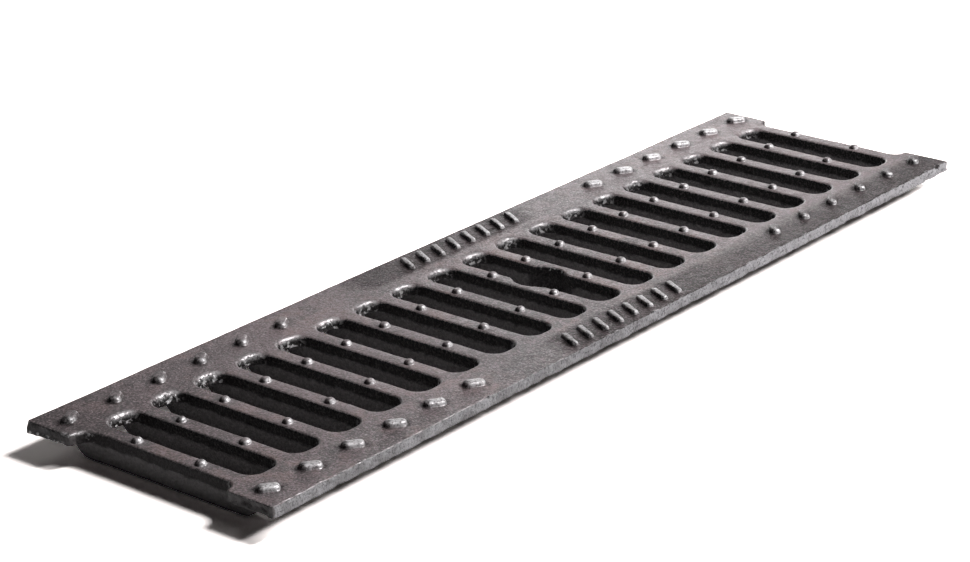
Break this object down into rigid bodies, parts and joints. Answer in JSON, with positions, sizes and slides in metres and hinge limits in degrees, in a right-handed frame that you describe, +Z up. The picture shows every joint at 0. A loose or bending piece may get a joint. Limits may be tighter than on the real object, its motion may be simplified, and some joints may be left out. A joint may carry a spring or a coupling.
{
  "type": "channel drain grate",
  "caption": "Cast-iron slotted grate for a drainage channel, with cross bars, ribs under them, anti-slip studs and a round lock hole in the middle.",
  "frame": {"origin": "under the middle of the grate, at the height of the undersides of the ribs", "axes": "+X along the length of the plate, +Y across it, +Z up, out of the tread"},
  "size_m": [0.5, 0.136, 0.0165],
  "materials": {
    "iron": "black bitumen coat on sand-cast iron, fine grain, semi-matte"
  },
  "bodies": {
    "root": {"grate": "iron"}
  },
  "joints": []
}
